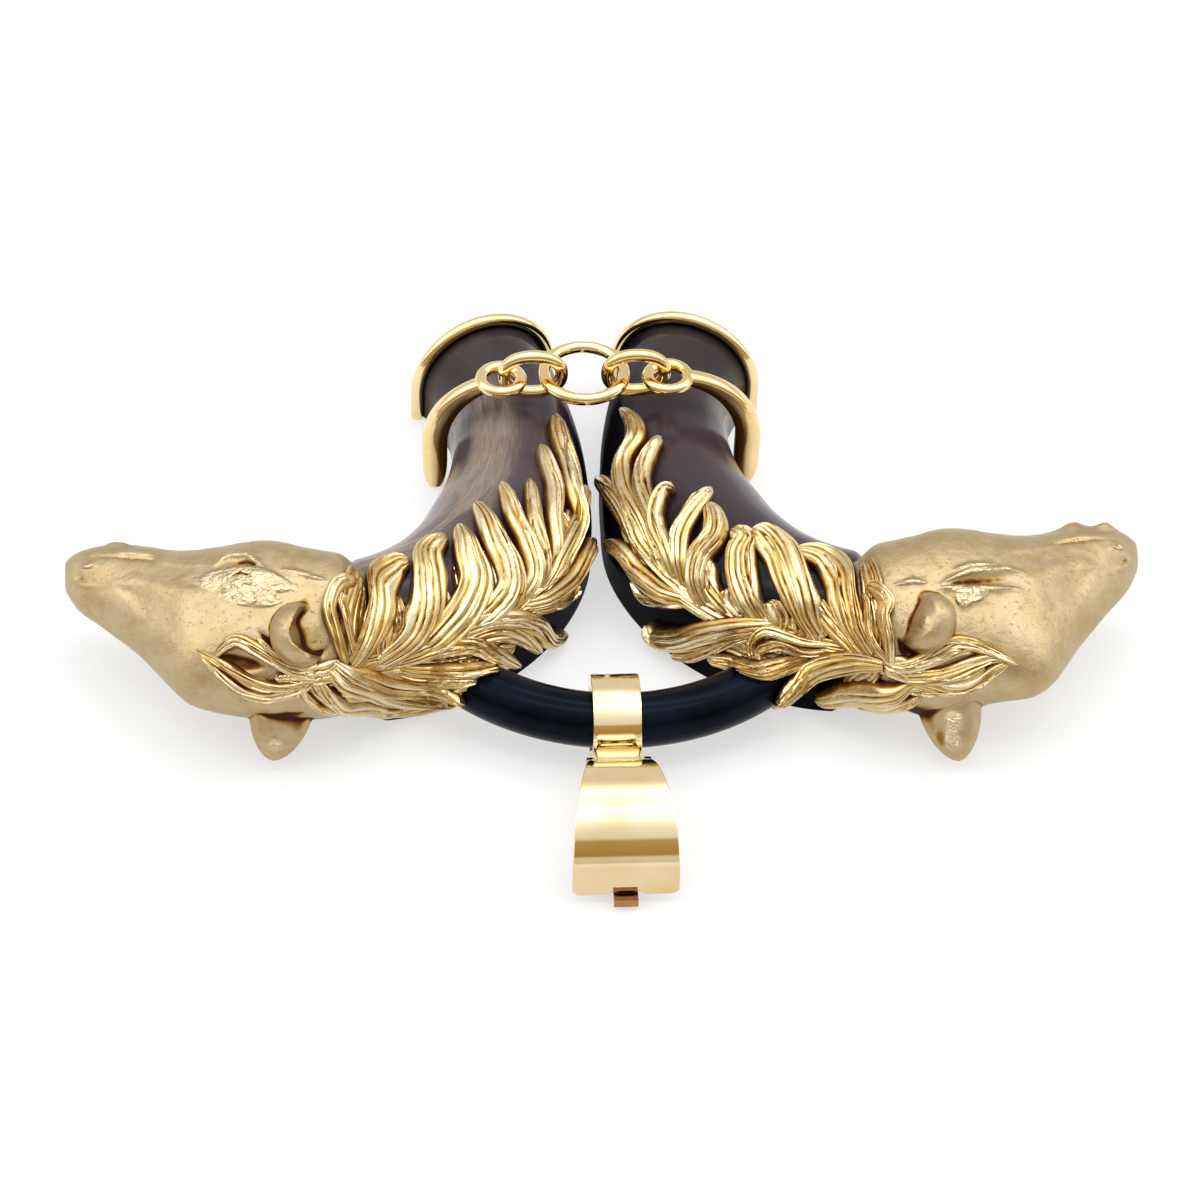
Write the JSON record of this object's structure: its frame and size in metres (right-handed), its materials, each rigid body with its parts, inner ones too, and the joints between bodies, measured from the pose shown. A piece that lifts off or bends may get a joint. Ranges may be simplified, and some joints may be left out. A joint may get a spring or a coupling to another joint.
{
  "type": "double horse head pendant",
  "caption": "Cast horse heads looking outward on curved horn necks with flame manes, a horn arc, a short chain and a tapered bail that opens.",
  "frame": {"origin": "under the middle of the whole piece, on the flat back that it lies on", "axes": "+Z out of the pendant's front, +X towards the nose of the right head, +Y from the bail towards the open ends of the necks"},
  "size_m": [0.0836, 0.06, 0.0146],
  "materials": {
    "cast_gold": "satin, finely grained",
    "polished_gold": "polished",
    "brown_horn": "polished horn",
    "black_horn": "polished horn"
  },
  "bodies": {
    "root": {"neck_left": "brown_horn", "neck_right": "brown_horn", "horn_arc": "black_horn", "head_left": "cast_gold", "head_right": "cast_gold", "mane_left": "cast_gold", "mane_right": "cast_gold", "rim_left": "polished_gold", "rim_right": "polished_gold", "collar_left": "polished_gold", "collar_right": "polished_gold", "link_left": "polished_gold", "link_right": "polished_gold", "ring_center": "polished_gold"},
    "loop": {"bail_loop": "polished_gold"},
    "bail": {"enhancer_shell": "polished_gold", "hinge_pin": "polished_gold", "clasp_pin": "polished_gold"},
    "clasp": {"clasp_arm": "polished_gold"}
  },
  "joints": [
    {"name": "bail_swing", "type": "hinge", "parent": "root", "child": "loop", "pos_m": [0, -0.01426, 0.0039], "axis": [-1, 0, 0], "range_deg": [-90, 90]},
    {"name": "enhancer_swing", "type": "hinge", "parent": "loop", "child": "bail", "pos_m": [0, -0.01966, 0.0037], "axis": [-1, 0, 0], "range_deg": [-40, 40]},
    {"name": "clasp_open", "type": "hinge", "parent": "bail", "child": "clasp", "pos_m": [0, -0.02146, 0.0014], "axis": [1, 0, 0], "range_deg": [0, 50]}
  ]
}
